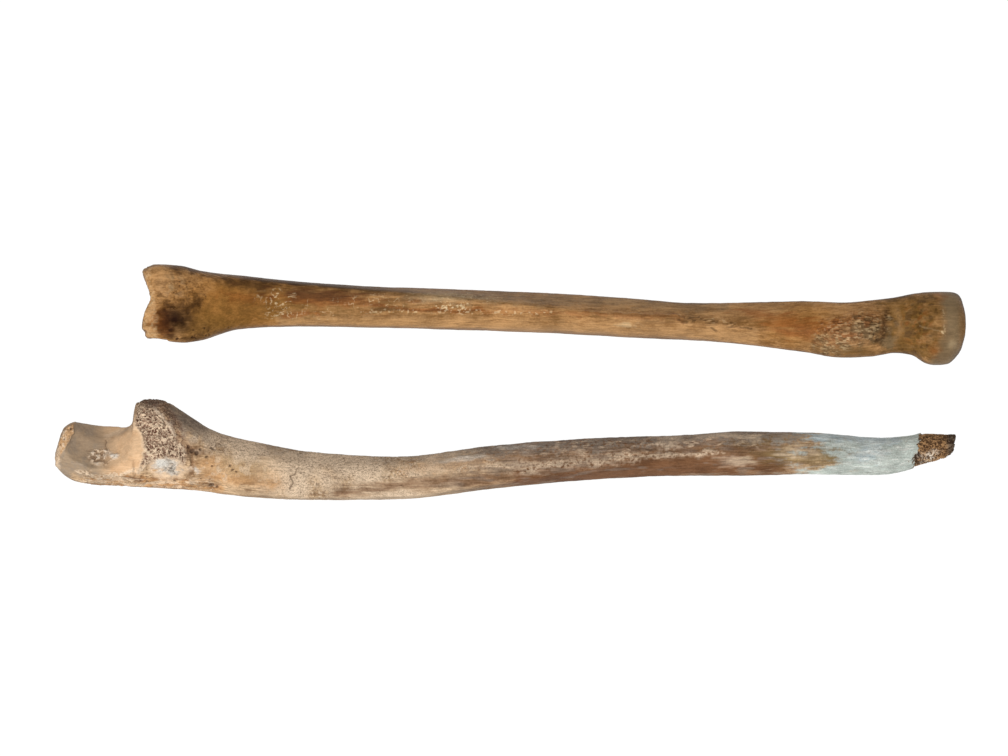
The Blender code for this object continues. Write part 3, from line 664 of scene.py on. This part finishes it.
# %% Paint the ulna's foam and what lies round it
ulna.glaze([
    ("ochre", 0.55, line(((-118, -30.4), (-84, -31.4)), 1.2, 0.5, 0.8)),
    ("cream", 0.9, foam_zone * (1 - grey_side) * (1 - tip_fine)),
    ("peach", 0.5, radial_oval),
    ("cream", 0.6, radial_oval * (1 - chipped)),
    # grey weathering and painted shade: the coronoid's far flank, grey and darkened with umber where it
    # turns from the light
    ("grey", 0.85, grey_side * oval(-92, -11.5, 12, 4.8, -27, soft=0.7)),
    ("grey", 0.75, tip_fine),
    ("umber", 0.35, grey_side * oval(-94, -11, 10, 4, -27, soft=0.8)),
    ("umber", 0.3, tip_fine),
    ("grey", 0.45, line(((-86, -14.4), (-98, -6.4)), 2, 0.4, 0.9)),
    ("peach", 0.65, line(((-89, -25), (-67, -28.2)), 4, 0.3, 0.7) * (1 - past(FLAP, 0.4))),
    ("olive", 0.35, oval(-77, -26, 9, 4.2, -6, 0.8, 1)),
    ("ochre", 0.5, line(((-88, -27.6), (-68, -30)), 2.4, 0.4, 0.9) * (1 - past(FLAP, 0.4))),
    ("ochre", 0.4, oval(-88, -23.2, 5, 2.2, 0, soft=0.8)),
    # painted shade: brown in the crease
    ("brown", 0.6, crease),
    # painted shade: brown in the hollows between the lumps
    ("brown", 0.45, knobs * (1 - knob_forms)),
    ("brown", 0.8, line(((-112.4, -27.8), (-107, -28.4)), 0.7, 0.5, 0.8)),
    ("brown", 0.75, line(((-104, -28.2), (-94, -28.6)), 0.6, 0.6, 0.8)),
    ("cream", 0.85, knob_forms),
    ("white", 0.3, knob_forms * ease(-0.2, 0.4, ulna.fine)),
    ("white", 0.7, white_knob * ease(-1, 0.2, ulna.fine)),
    ("white", 0.7, chipped * ease(-1.3, -0.2, ulna.rough)),
    ("white", 0.9, oval(-101.6, -23.7, 2.5, 1.6, -10, 0.3, 0.6)),
    ("umber", 0.6, oval(-98.2, -24.8, 2.6, 2.2, 0, 0.3, 0.7) * ease(0.1, 0.5, -ulna.fine)),
    ("white", 0.55, oval(-91.6, -25.7, 1.5, 1.1, -40, 0.8, 0.7) * ease(-0.6, 0.3, ulna.fine)),
    ("white", 0.15, smooth_ridge),
])

# %% [markdown]
# Along the shaft the sandy skin near the elbow gives way to brown bone with grey and cream
# scales, and the upper edge is painted grey, partly grey weathering and partly painted shade on
# the side that turns from the light. Flaky masks, four times as long as wide, give each scale its
# torn outline.

# %% Paint the ulna's shaft
upper_grey = ((-96, -7), (-84, -15.4), (-64, -19.6), (-40, -22), (-10, -19.4), (60, -15.8), (84, -15.6))
ulna.glaze([
    ("cream", 0.85, bare * ease(-0.9, 0.2, ulna.broad)),
    ("cream", 0.65, bare * ease(-0.2, 0.4, ulna.fine)),
    # painted shade and grey weathering: the upper edge
    ("grey", 0.8, line(upper_grey, 3.4, 0.5, 0.9, True) * ease(-1, 0.2, ulna.fine)),
    ("grey", 0.45, oval(-48, -24.4, 12, 3, -6, 0.5, 0.9)),
    ("grey", 0.35, shaft * ulna.beyond(-30, -10) * ease(0, 0.7, ulna.flaky)),
    ("grey", 0.6, oval(-6, -19.6, 15, 2.6, 3, 0.7, 0.8, edge=ulna.flaky)),
    ("white", 0.35, oval(-13, -22.4, 7, 1.1, 4, 0.6, 0.8, edge=ulna.flaky)),
    ("white", 0.3, oval(4, -18.6, 6, 0.9, 2, 0.8, 0.8, edge=ulna.flaky)),
    ("brown", 0.72, lower_brown),
    ("brown", 0.95, line(((4, -27.4), (40, -25.2), (78, -23)), 4, 0.4, 0.5, edge=ulna.flaky)),
    ("brown", 0.7, line(((-16, -17.6), (30, -16.6), (60, -15.6)), 1.8, 0.6, 0.7, edge=ulna.flaky)),
    ("brown", 0.8, shaft * ulna.beyond(-26, 10) * (1 - ulna.beyond(72, 94))),
    ("olive", 0.55, oval(82, -21.5, 12, 3.6, -4, 0.5, 0.9, edge=ulna.flaky)),
    ("olive", 0.4, oval(72, -16.5, 12, 3, 0, 0.5, 0.9, edge=ulna.flaky)),
    ("cream", 0.5, scales * ease(-0.5, 0.6, ulna.rough)),
    ("cream", 0.7, pale_band * ease(-0.9, 0.4, ulna.fine)),
    ("cream", 0.5, oval(66, -23.2, 5.6, 1.7, 0, 0.8, 0.8, edge=ulna.flaky)),
    ("grey", 0.55, oval(47, -17.6, 5.4, 2.5, 20, 0.6, 0.8, edge=band_edge)),
    ("cream", 0.6, oval(47, -17.8, 5, 2.2, 20, 0.6, 0.8, edge=band_edge)),
    ("grey", 0.5, line(((50, -14.8), (72, -15.6)), 1.8, 0.5, 0.9, edge=band_edge)),
    ("cream", 0.5, line(((52, -15.2), (72, -16.2)), 1.5, 0.6, 0.9, edge=band_edge)),
    ("cream", 0.5, oval(84, -20.4, 5.4, 1.8, 0, 0.8, 0.9, edge=ulna.flaky)),
    ("cream", 0.6, elbow * line(((-90, -18.4), (-78, -20.8), (-66, -23)), 2.4, 0.6, 0.9)
     * ease(-0.5, 0.4, ulna.fine)),
    ("olive", 0.7, oval(94, -21, 9, 2.6, -3, 0.5, 0.9, edge=ulna.flaky)),
    ("ochre", 0.45, oval(-20, -24.4, 16, 2.4, 6, 0.6, 0.8)),
])

# %% [markdown]
# Whatever was carved is painted darker: each crack, pit and hole gets its own dark pigment from
# the very mask that cut it, so that the two can't drift apart. The pocket of holes gets brown
# painted shade over it, and the bone's steep sides get umber painted shade.

# %% Dark paint in the ulna's cracks, pits and pores, and painted shade
ulna.glaze([
    ("speckled", 0.72, bare),
    ("speckled", 0.5, np.maximum(beak, lower_edge)),
    ("speckled", 0.9, elbow * past(((-99, -5), (-93.6, -20)), 1.5) * line(upper_grey, 7)),
    ("speckled", 0.2, foam_zone),
    ("speckled", 0.6, np.maximum(scaly, pale_band)),
    ("speckled", 0.35, chalky),
    ("umber", 0.5, line(((22, -19.6), (42, -19.4)), 0.45, 0.7, edge=ulna.flaky)),
    ("umber", 0.4, line(((-6, -16.6), (40, -15.8)), 0.9, 0.8, 0.9, edge=ulna.flaky)),
    ("umber", 0.28, sand * bare),
    ("umber", 0.45, fine_pores * bare),
    ("umber", 0.35, shaft_cracks * (1 - chalky)),
    ("umber", 0.65, flap),
    # painted shade: the steep sides darker
    ("umber", 0.35, ulna.sides),
    ("umber", 0.75, edge_pores + beak_pores),
    ("umber", 0.35, notch_crack),
    ("umber", 0.7, lone_holes),
    # painted shade: brown over the pocket of holes
    ("brown", 0.8, pocket),
    ("umber", 0.35, chalk_pit),
    ("marrow", 0.95, np.clip(foam, 0, 1)),
    ("stump_grey", 0.8, np.clip(chip_foam, 0, 1)),
    ("pore", 0.85, np.clip(stump_foam, 0, 1)),
    ("pore", 0.9, side_holes),
])

# %% [markdown]
# Sun has burnt the collagen out of the last quarter and left cold, chalky mineral. Its border
# is torn into flakes. At the break the foam is tan, with a grey tip and one pale corner.

# %% Paint the bleached end and the break
ulna.glaze([
    ("chalk", 1, chalky),
    ("blue", 0.6, chalky * line(((84, -15.6), (112, -16.8)), 2.2, 0.4, 0.9, around=True)),
    ("blue", 0.55, chalky * oval(104.5, -20.5, 5, 4, 0, 0.5, 0.9)),
    ("bone_white", 0.6, chalky * oval(105, -21, 8, 5, 0, 0.4, 0.9) * ease(-0.6, 0.6, grain)),
    ("bone_white", 0.6, chalky * oval(114, -21, 6, 6, 0, 0.4, 0.9) * ease(-0.1, 0.5, grain)),
    ("bone_white", 0.35, chalky * ease(0.1, 0.7, grain)),
    ("umber", 0.3, chalky * ulna.beyond(106, 113) * ease(0.25, 0.6, -grain)),
    ("stump_tan", 0.95, stump * (1 - 0.75 * pale_corner)),
    ("bone_white", 0.6, stump * pale_corner * ease(-0.6, 0.2, ulna.fine)),
    ("stump_grey", 0.85, ulna.beyond(126.4, 128.4)),
])
ulna.finish()

# %% [markdown]
# ## Unwrapping
#
# A bone is nearly a tube, so it unwraps like one: the angle round its middle line goes across
# the map and the place along it goes up the map. The end faces would shrink to a point that
# way, so faces that look along X at either end get a flat patch of their own in a bottom strip.

# %% Unwrap both bones
TUBE_BOTTOM = 0.16  # the map's strip for the two end patches
PATCH = 0.14  # how wide the widest end would be in its patch
END_REACH = 4.0  # millimetres from a bone's end
END_FACING = 0.7  # how far a face looks along X to belong to an end patch
MARGIN = 0.01  # the gap beside and below a patch
SLICES = 60  # places along a bone where its middle is worked out


def unwrap(surface):
    """Lays out the tube and two end patches in the UV map that the finish is baked on."""
    mesh = surface.bone.data
    corners = np.empty(len(mesh.loops), np.int32)
    mesh.loops.foreach_get("vertex_index", corners)
    sizes = np.empty(len(mesh.polygons), np.int32)
    mesh.polygons.foreach_get("loop_total", sizes)
    face_of = np.repeat(np.arange(len(sizes)), sizes)
    points, normals = surface.points, surface.normals
    start, end = points[:, 0].min(), points[:, 0].max()
    share = (points[:, 0] - start) / (end - start)
    bins = np.clip((share * SLICES).astype(int), 0, SLICES - 1)
    counts = np.maximum(np.bincount(bins, minlength=SLICES), 1)
    middle = np.stack([np.bincount(bins, points[:, k], SLICES) / counts for k in (1, 2)], axis=1)
    places = (np.arange(SLICES) + 0.5) / SLICES * (end - start) + start
    dy = points[:, 1] - np.interp(points[:, 0], places, middle[:, 0])
    dz = points[:, 2] - np.interp(points[:, 0], places, middle[:, 1])
    turn = np.arctan2(dy, -dz) / math.tau + 0.5
    across = turn[corners]
    first = across[np.concatenate(([0], np.cumsum(sizes)[:-1]))][face_of]
    across = across - np.round(across - first)
    up = share[corners] * (1 - TUBE_BOTTOM) + TUBE_BOTTOM
    facing = np.bincount(face_of, normals[corners, 0]) / sizes
    along = np.bincount(face_of, points[corners, 0]) / sizes
    wide = max(np.ptp(points[:, 1]), np.ptp(points[:, 2]))
    for side, edge, left in ((-1, start, MARGIN), (1, end, PATCH + 3 * MARGIN)):
        capped = (facing * side > END_FACING) & (np.abs(along - edge) < END_REACH)
        mine = capped[face_of]
        for target, axis, base in ((across, 1, left), (up, 2, MARGIN)):
            values = points[corners[mine], axis]
            low = values.min() if len(values) else 0.0
            target[mine] = (values - low) / wide * PATCH + base
    layer = mesh.uv_layers.new(name="OFBake")
    layer.data.foreach_set("uv", np.stack([across, up], axis=1).reshape(-1).astype(np.float32))
    print(surface.bone.name, "unwrapped,", len(sizes), "faces")


unwrap(radius)
unwrap(ulna)

# %% [markdown]
# ## Materials
#
# Dry bone is a mineral, much like chalk, held together by collagen. It is matt where it is
# bare, and satin where handling or grease has filled its pores. Light enters a little way, but
# on a stained bone that hardly shows. So each bone is one Principled shader with no metal, and
# with its specular level kept low because the surface is porous.

# %% Colours and a helper for nodes


def linear(code):
    """An sRGB hex value such as "#b88a58" as linear RGB and a full alpha."""
    channels = [int(code[i : i + 2], 16) / 255 for i in (1, 3, 5)]
    return (*[c / 12.92 if c <= 0.04045 else ((c + 0.055) / 1.055) ** 2.4 for c in channels], 1.0)


def add(tree, kind, links=(), values=(), **settings):
    """Adds a node. Links and values go to inputs; settings are its properties or named inputs."""
    node = tree.nodes.new(kind)
    for name, value in settings.items():
        if hasattr(node, name):
            setattr(node, name, value)
    for name, value in settings.items():
        if not hasattr(node, name):
            node.inputs[name.replace("_", " ")].default_value = value
    for socket, value in values:
        node.inputs[socket].default_value = value
    for socket, source in links:
        tree.links.new(source, node.inputs[socket])
    return node


# %% [markdown]
# No bone is one even colour. Four noises are heaped up for its mottle: stains 9 mm across, grain
# lines 1.1 mm and hairs 0.42 mm wide that are drawn out along the bone, and specks of 0.55 mm.
# Real grain is finer than the hairs, but it wouldn't show in the picture. The mottle is used
# twice: it mixes the bone's dark and light tones, and it tones whatever pigment lies on top.

# %% Mottle and pigment
PER_MM = 1000.0  # object coordinates are in metres, patterns are in features per millimetre
DRAWN_OUT = (0.13, 1.0, 1.0)  # grain is nearly eight times as long as it is wide
FIRST, SECOND = 6, 7  # the two colour inputs of a Mix node


def mottling(tree, place):
    """The heap of noises, and its two middle ones as a height for the skin."""
    lengthwise = add(
        tree, "ShaderNodeMapping", [("Vector", place)], Scale=DRAWN_OUT
    ).outputs["Vector"]
    noises = [
        add(tree, "ShaderNodeTexNoise", [("Vector", vector)], Scale=PER_MM / size, Detail=detail,
            Roughness=harsh).outputs["Fac"]
        for vector, size, detail, harsh in (
            (place, 9, 4.0, 0.5), (lengthwise, 1.1, 5.0, 0.62),
            (place, 0.55, 3.0, 0.6), (lengthwise, 0.42, 2.0, 0.6),
        )
    ]
    mottle, grain_lines, specks, hairs = noises
    for layer, weight in ((grain_lines, 1.0), (specks, 0.6), (hairs, 0.9)):
        mottle = add(tree, "ShaderNodeMath", [(0, layer), (2, mottle)], [(1, weight)],
                     operation="MULTIPLY_ADD").outputs[0]
    relief = add(tree, "ShaderNodeMath", [(0, grain_lines), (1, specks)], operation="ADD")
    return mottle, relief.outputs[0]


def glazed(tree, colour, layers, gloss):
    """The pigments mixed over a colour in order, each with the roughness that it brings."""
    roughness = None
    for pigment, code, matt in layers:
        mask = add(tree, "ShaderNodeAttribute", attribute_name=pigment).outputs["Fac"]
        colour = add(tree, "ShaderNodeMix", [("Factor", mask), (FIRST, colour)],
                     [(SECOND, linear(code))], data_type="RGBA").outputs[2]
        blend = add(tree, "ShaderNodeMix", [("Factor", mask)], data_type="FLOAT", A=gloss, B=matt)
        if roughness:
            tree.links.new(roughness, blend.inputs["A"])
        roughness = blend.outputs[0]
    return colour, roughness


def dotted(tree, place, colour, dirt):
    """Dark dots a third of a millimetre wide, where the bone has its layer "speckled"."""
    dots = add(tree, "ShaderNodeTexNoise", [("Vector", place)], Scale=PER_MM / 0.34, Detail=2.0,
               Roughness=0.7).outputs["Fac"]
    dark = add(tree, "ShaderNodeMapRange", [("Value", dots)], From_Min=0.5, From_Max=0.64)
    where = add(tree, "ShaderNodeAttribute", attribute_name="speckled").outputs["Fac"]
    share = add(tree, "ShaderNodeMath", [(0, dark.outputs[0]), (1, where)], operation="MULTIPLY")
    return add(tree, "ShaderNodeMix", [("Factor", share.outputs[0]), (FIRST, colour)],
               [(SECOND, linear(dirt))], data_type="RGBA").outputs[2]


# %% Dry bone


def dry_bone(name, dark, light, layers, gloss, sheen, bump, contrast, dirt=None):
    """Dry bone: a mottled base, then (pigment, colour, roughness) layers over it in order."""
    material = bpy.data.materials.new(name)
    material.use_nodes = True
    tree = material.node_tree
    tree.nodes.clear()
    place = add(tree, "ShaderNodeTexCoord").outputs["Object"]
    mottle, relief = mottling(tree, place)
    ramp = add(tree, "ShaderNodeMapRange", [("Value", mottle)], From_Min=1.48, From_Max=2.02)
    base = add(tree, "ShaderNodeMix", [("Factor", ramp.outputs[0])],
               [(FIRST, linear(dark)), (SECOND, linear(light))], data_type="RGBA")
    colour, roughness = glazed(tree, base.outputs[2], layers, gloss)
    if dirt:
        colour = dotted(tree, place, colour, dirt)
    toned = add(tree, "ShaderNodeMapRange", [("Value", mottle)], From_Min=1.5, From_Max=2.0,
                To_Min=1 - contrast, To_Max=1 + contrast)
    calm = add(tree, "ShaderNodeAttribute", attribute_name="calm").outputs["Fac"]
    evened = add(tree, "ShaderNodeMix", [("Factor", calm), ("A", toned.outputs[0])],
                 data_type="FLOAT", B=1.0)
    shaded = add(tree, "ShaderNodeVectorMath", [(0, colour), ("Scale", evened.outputs[0])],
                 operation="SCALE")
    skin = add(tree, "ShaderNodeBump", [("Height", relief)], Strength=0.35, Distance=bump * MM)
    shader = add(tree, "ShaderNodeBsdfPrincipled",
                 [("Base Color", shaded.outputs[0]), ("Roughness", roughness),
                  ("Normal", skin.outputs["Normal"])],
                 IOR=1.45, Metallic=0.0, Specular_IOR_Level=sheen)
    add(tree, "ShaderNodeOutputMaterial", [("Surface", shader.outputs[0])])
    return material


# %% [markdown]
# The radius is compact bone that collagen and handling have turned honey brown. Its skin is
# closed, so it is satin. The ulna is the same mineral with its collagen gone: paler, matt,
# and reddish only where soil has settled in the foam.

# %% The two bones' materials
honey_bone = dry_bone(
    "honey_stained_compact_bone",
    "#8a6238",
    "#a67d51",
    (
        ("golden", "#8d5f2a", 0.42),
        # olive: stain, and painted shade at the far end of the head
        ("olive", "#66481e", 0.45),
        # tan: the bone's own tan, and painted light on the wrist's rim
        ("tan", "#ae865a", 0.42),
        # taupe: grey-brown stain, and painted shade above the crest and on the head's rim
        ("taupe", "#78664c", 0.4),
        ("rust", "#84491c", 0.45),
        # umber: dirt, and painted shade on the upper edge and the steep sides
        ("umber", "#3f2916", 0.55),
        # cream: membrane and pale marks, and one painted highlight on the head
        ("cream", "#cdb48c", 0.62),
        ("stain", "#200c03", 0.7),
    ),
    gloss=0.45,
    sheen=0.07,
    bump=0.12,
    contrast=0.24,
)
weathered_bone = dry_bone(
    "weathered_flaking_bone",
    "#937455",
    "#c2a583",
    (
        ("dun", "#9c866e", 0.5),
        # peach: joint surface and worn bone, and painted light on the notch's lit side
        ("peach", "#cda479", 0.5),
        # brown: stain and dirt, and painted shade in the crease, the pocket and between the lumps
        ("brown", "#67442b", 0.52),
        ("olive", "#827049", 0.55),
        ("ochre", "#b98652", 0.55),
        # grey: weathering, and painted shade on the notch's far side, the coronoid's far flank and the
        # upper edge
        ("grey", "#897e72", 0.66),
        # cream: flaked skin and foam walls, and painted light on the notch's lit side
        ("cream", "#dac2a6", 0.7),
        # umber: dirt in cracks, pits and holes, and painted shade on the steep sides and the coronoid's
        # far flank
        ("umber", "#463529", 0.7),
        ("chalk", "#aeb6ae", 0.8),
        ("blue", "#a6b5bd", 0.8),
        ("bone_white", "#d8d8d0", 0.8),
        ("white", "#cfccc4", 0.75),
        ("stump_tan", "#9c7751", 0.7),
        ("stump_grey", "#5d5348", 0.7),
        ("marrow", "#54291d", 0.75),
        ("pore", "#3a261a", 0.75),
    ),
    gloss=0.58,
    sheen=0.07,
    bump=0.18,
    contrast=0.26,
    dirt="#6b5645",
)
for surface, material, node in (
    (radius, honey_bone, "radius"),
    (ulna, weathered_bone, "ulna"),
):
    piece = surface.bone
    piece.data.materials.clear()
    piece.data.materials.append(material)
    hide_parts(node)
    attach(piece, "root")
print("materials:", [material.name for material in bpy.data.materials])

# %% [markdown]
# ## Light table, light and camera
#
# The photograph is taken straight from above on pure white. A photographer gets that from a
# light table, a sheet of white acrylic with a lamp under it, which swallows the shadows. The
# main light is a broad panel overhead, so the bones' edges fall off darker, and a weaker one
# on the lower left of the picture turns their upper edges into shade. The acrylic itself is a
# dark grey, so that its white comes from the lamp alone and no shadow shows on it.

# %% Light table
HALF_TABLE = 1.5  # metres
TABLE_DROP = 0.0002  # metres, just clear of the bones' flats
table = bpy.data.objects.new("table_top", bpy.data.meshes.new("table_top"))
table.data.from_pydata(
    [(x * HALF_TABLE, y * HALF_TABLE, -TABLE_DROP) for x, y in ((-1, -1), (1, -1), (1, 1), (-1, 1))],
    [],
    [(0, 1, 2, 3)],
)
bpy.context.scene.collection.objects.link(table)
acrylic = bpy.data.materials.new("white_acrylic")
acrylic.use_nodes = True
acrylic_shader = acrylic.node_tree.nodes["Principled BSDF"]
acrylic_shader.inputs["Base Color"].default_value = linear("#3c3c3c")
acrylic_shader.inputs["Roughness"].default_value = 0.9
acrylic_shader.inputs["Specular IOR Level"].default_value = 0.1
acrylic_shader.inputs["Emission Color"].default_value = linear("#ffffff")
acrylic_shader.inputs["Emission Strength"].default_value = 1.0
table.data.materials.append(acrylic)
print("table", 2 * HALF_TABLE, "m wide")

# %% Light
sky = bpy.data.worlds.new("soft_sky")
sky.use_nodes = True
sky.node_tree.nodes["Background"].inputs["Color"].default_value = linear("#ffffff")
sky.node_tree.nodes["Background"].inputs["Strength"].default_value = 0.3
bpy.context.scene.world = sky


def panel(name, place, size, power):
    """A square light panel that faces the middle of the table."""
    data = bpy.data.lights.new(name, "AREA")
    data.shape = "SQUARE"
    data.size = size
    data.energy = power
    lamp = bpy.data.objects.new(name, data)
    lamp.location = place
    direction = -lamp.location
    lamp.rotation_euler = direction.to_track_quat("-Z", "Y").to_euler()
    bpy.context.scene.collection.objects.link(lamp)
    print(name, "at", tuple(place))


panel("overhead", (0.0, -0.15, 2.0), 1.4, 26.0)
panel("lower_left", (-0.75, -1.0, 1.25), 0.9, 16.0)

# %% [markdown]
# The camera hangs high over the table with a very long lens. From so far off, the raised ends of
# the bones don't spread outwards, and the picture is nearly a plan, as the photograph is.

# %% Camera
PICTURE_WIDTH = 0.2939  # metres across the picture, at the height of the bones
PICTURE_MIDDLE = (-0.0019, 0.0012)
LENS_HEIGHT = 6.0  # metres above the bones' middle
BONE_LEVEL = 0.010  # metres, the height of their middle over the table
camera = bpy.data.objects.new("camera", bpy.data.cameras.new("camera"))
camera.data.sensor_width = 36.0
camera.data.lens = camera.data.sensor_width * LENS_HEIGHT / PICTURE_WIDTH
camera.location = (*PICTURE_MIDDLE, LENS_HEIGHT + BONE_LEVEL)
camera.data.clip_start = 0.05
bpy.context.scene.collection.objects.link(camera)
bpy.context.scene.camera = camera
bpy.context.scene.view_settings.view_transform = "Standard"
print("lens of", round(camera.data.lens), "mm")
